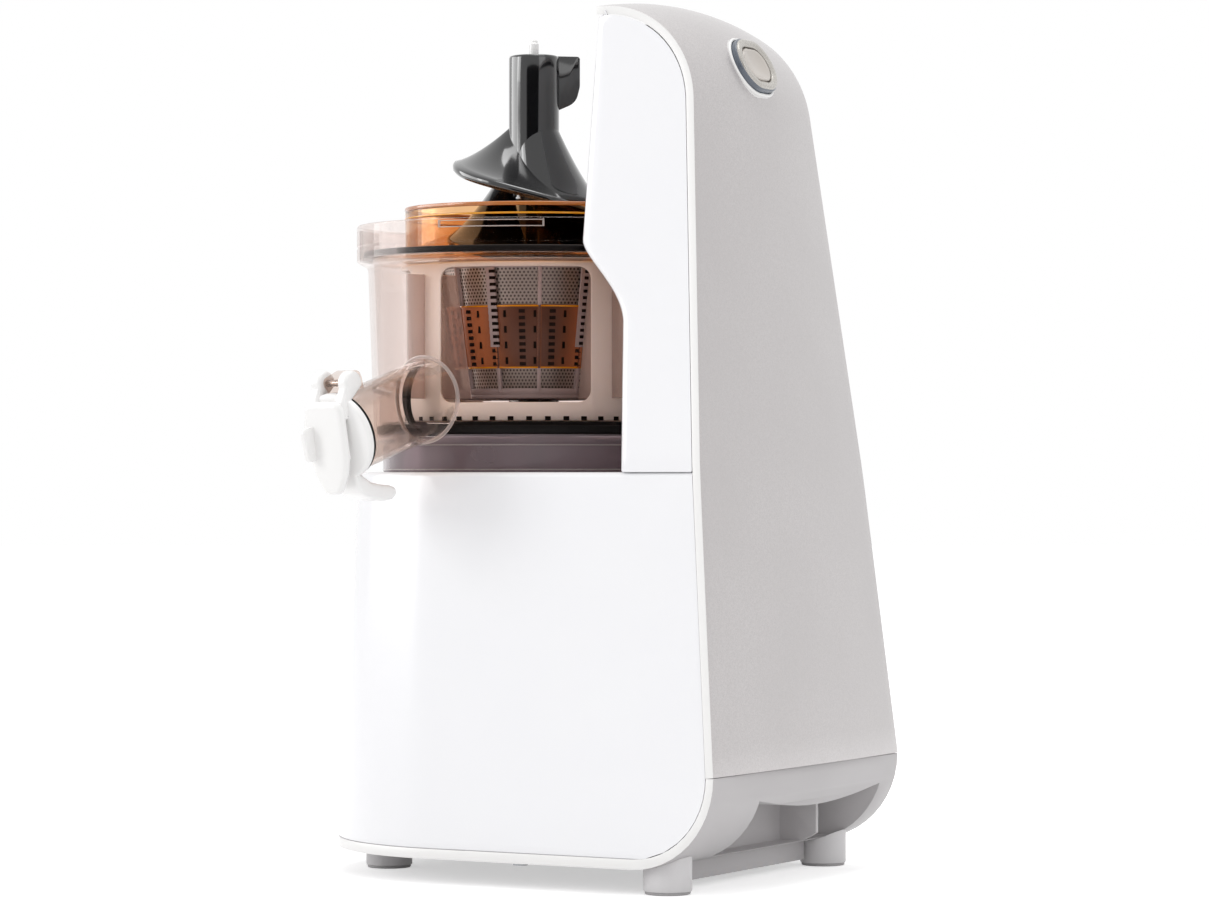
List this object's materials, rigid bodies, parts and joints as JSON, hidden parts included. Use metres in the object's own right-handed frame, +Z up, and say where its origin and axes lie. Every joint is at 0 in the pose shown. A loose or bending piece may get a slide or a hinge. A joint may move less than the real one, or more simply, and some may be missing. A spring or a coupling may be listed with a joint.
{
  "type": "cold press juicer",
  "caption": "Cold press juicer: white base, tall leaning rear column with rocker switch, smoky drum with strainer, brush cage and auger, sloping juice spout with tap, and pulp chute.",
  "frame": {"origin": "middle of the machine's outline on the surface it stands on", "axes": "+Z up, +X to the rear column, -Y to the juice spout, +Y to the pulp chute"},
  "size_m": [0.2543, 0.2736, 0.425],
  "materials": {
    "gloss_white": "high-gloss moulded ABS",
    "silver_lacquer": "silver-grey lacquered ABS",
    "tray_grey": "satin light grey ABS",
    "foot_grey": "satin light grey ABS",
    "soft_grey": "soft grey rubber",
    "screw_steel": "zinc plated",
    "switch_silver": "satin silver",
    "switch_cap": "silver plastic",
    "inner_black": "black nylon",
    "board_green": "circuit board",
    "motor_steel": "laminated steel",
    "pinion_brass": "machined brass",
    "gear_ivory": "acetal",
    "shaft_steel": "ground stainless steel",
    "bush_bronze": "sintered bronze",
    "plate_zinc": "zinc plated steel",
    "smoke_clear": "smoke-tinted clear copolyester",
    "seal_black": "black silicone",
    "mark_red": "printed dot",
    "brush_cream": "cream nylon",
    "wiper_silicone": "cream silicone",
    "mesh_steel": "perforated stainless steel",
    "amber_plastic": "amber polyetherimide",
    "auger_black": "black polyetherimide, polished",
    "tap_white": "white moulded ABS"
  },
  "bodies": {
    "housing": {"base_shell": "gloss_white", "column_shell": "gloss_white", "rear_cover": "silver_lacquer", "base_tray": "tray_grey", "deck_plate": "tray_grey", "feet": "foot_grey", "foot_pads": "soft_grey", "case_screws": "screw_steel", "rocker_bezel": "switch_silver", "switch_body": "inner_black", "cord_gland": "inner_black", "circuit_board": "board_green", "motor": "motor_steel", "shaft_bushes": "bush_bronze", "lower_gear_plate": "plate_zinc", "upper_gear_plate": "plate_zinc", "plate_spacers": "plate_zinc", "drum": "smoke_clear", "juice_spout": "smoke_clear", "pulp_chute": "smoke_clear", "drum_gasket": "seal_black", "lid_seal": "seal_black", "lock_mark": "mark_red", "strainer_mesh": "mesh_steel", "strainer_frame": "amber_plastic", "amber_collar": "amber_plastic"},
    "drive": {"drive_shaft": "shaft_steel", "output_gear": "gear_ivory", "auger": "auger_black", "auger_pinion": "gear_ivory", "auger_tip_pin": "tap_white"},
    "stage": {"stage_gear": "gear_ivory"},
    "motor_rotor": {"motor_pinion": "pinion_brass"},
    "brush": {"brush_cage": "brush_cream", "brush_wipers": "wiper_silicone"},
    "brush_idler": {"brush_pinion": "gear_ivory"},
    "rocker": {"rocker_button": "switch_cap"},
    "tap": {"tap_cap": "tap_white", "tap_thumb_plate": "tap_white", "spout_gasket": "seal_black", "tap_pin": "shaft_steel"}
  },
  "joints": [
    {"name": "drive_spin", "type": "hinge", "parent": "housing", "child": "drive", "pos_m": [-0.03, 0.01484, 0.18], "axis": [0, 0, 1], "continuous": true},
    {"name": "stage_spin", "type": "hinge", "parent": "housing", "child": "stage", "pos_m": [0.015, 0.01484, 0.138], "axis": [0, 0, 1], "continuous": true},
    {"name": "motor_spin", "type": "hinge", "parent": "housing", "child": "motor_rotor", "pos_m": [0.0525, 0.01484, 0.129], "axis": [0, 0, 1], "continuous": true},
    {"name": "brush_spin", "type": "hinge", "parent": "housing", "child": "brush", "pos_m": [-0.03, 0.01484, 0.225], "axis": [0, 0, 1], "continuous": true},
    {"name": "brush_idler_spin", "type": "hinge", "parent": "housing", "child": "brush_idler", "pos_m": [-0.009, 0.01484, 0.225], "axis": [0, 0, 1], "continuous": true},
    {"name": "rocker_tilt", "type": "hinge", "parent": "housing", "child": "rocker", "pos_m": [0.08903, 0.01484, 0.39189], "axis": [0, 1, 0], "range_deg": [-7, 7]},
    {"name": "tap_hinge", "type": "hinge", "parent": "housing", "child": "tap", "pos_m": [-0.05937, -0.12333, 0.23901], "axis": [-0.9781, 0.2079, 0], "range_deg": [0, 95]}
  ],
  "couplings": [
    {"joint": "stage_spin", "follows": "drive_spin", "ratio": -3.2857},
    {"joint": "motor_spin", "follows": "drive_spin", "ratio": 13.143},
    {"joint": "brush_idler_spin", "follows": "drive_spin", "ratio": -0.75},
    {"joint": "brush_spin", "follows": "drive_spin", "ratio": -0.27273}
  ]
}
